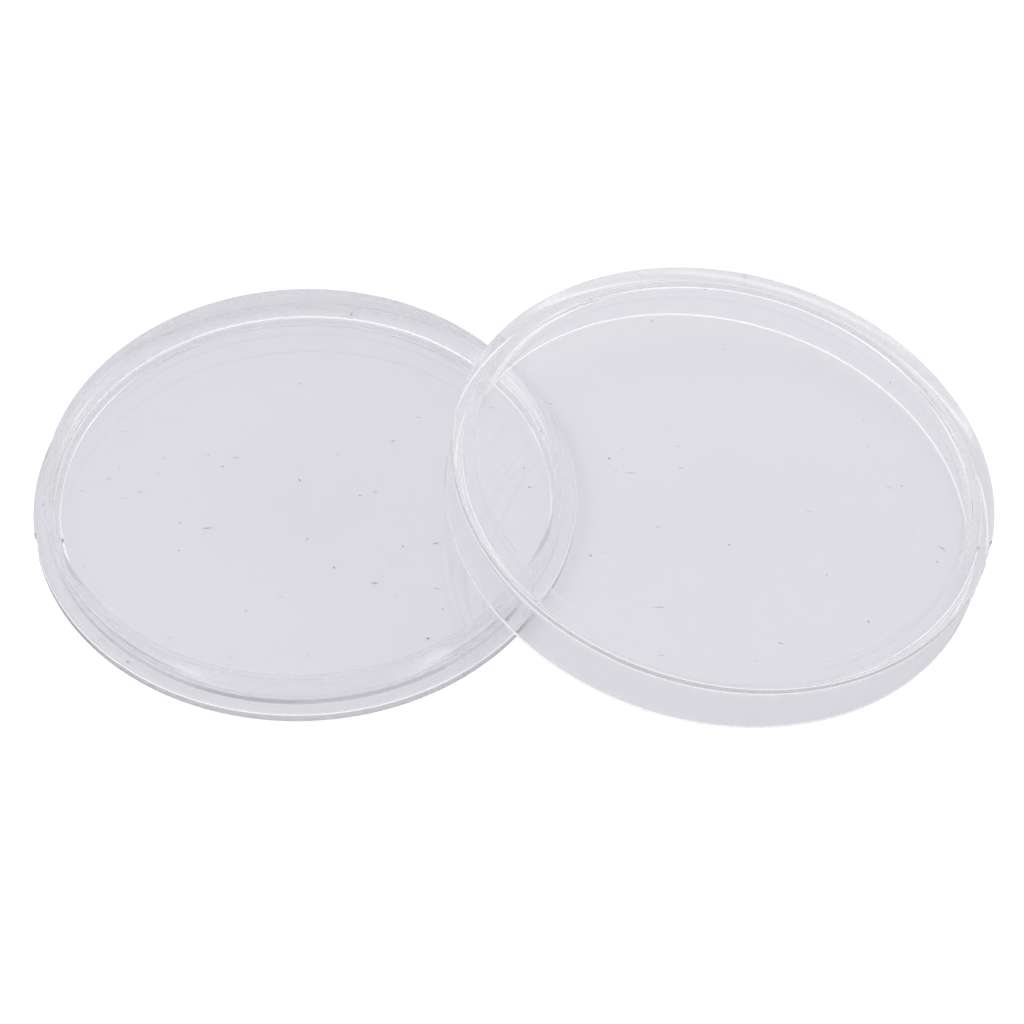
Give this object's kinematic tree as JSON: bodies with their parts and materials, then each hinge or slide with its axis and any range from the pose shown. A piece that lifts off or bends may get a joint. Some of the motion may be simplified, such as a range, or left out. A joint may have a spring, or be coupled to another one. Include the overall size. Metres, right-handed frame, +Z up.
{
  "type": "coin capsule",
  "caption": "Round clear coin capsule, opened: a base half with a raised ring lies flat and the cover half with its skirt leans on it.",
  "frame": {"origin": "on the table, in the middle of the footprint of the opened pair", "axes": "+X from the base half to the cover half, +Z up along the base half's own axis"},
  "size_m": [0.0884, 0.05, 0.0113],
  "materials": {
    "clear_polystyrene": "clear moulded, polished"
  },
  "bodies": {
    "base": {"base_half": "clear_polystyrene"},
    "cover": {"cover_half": "clear_polystyrene"}
  },
  "joints": [
    {"name": "cover_lift", "type": "slide", "parent": "base", "child": "cover", "axis": [0, 0, 1], "range_m": [0, 0.03]}
  ]
}
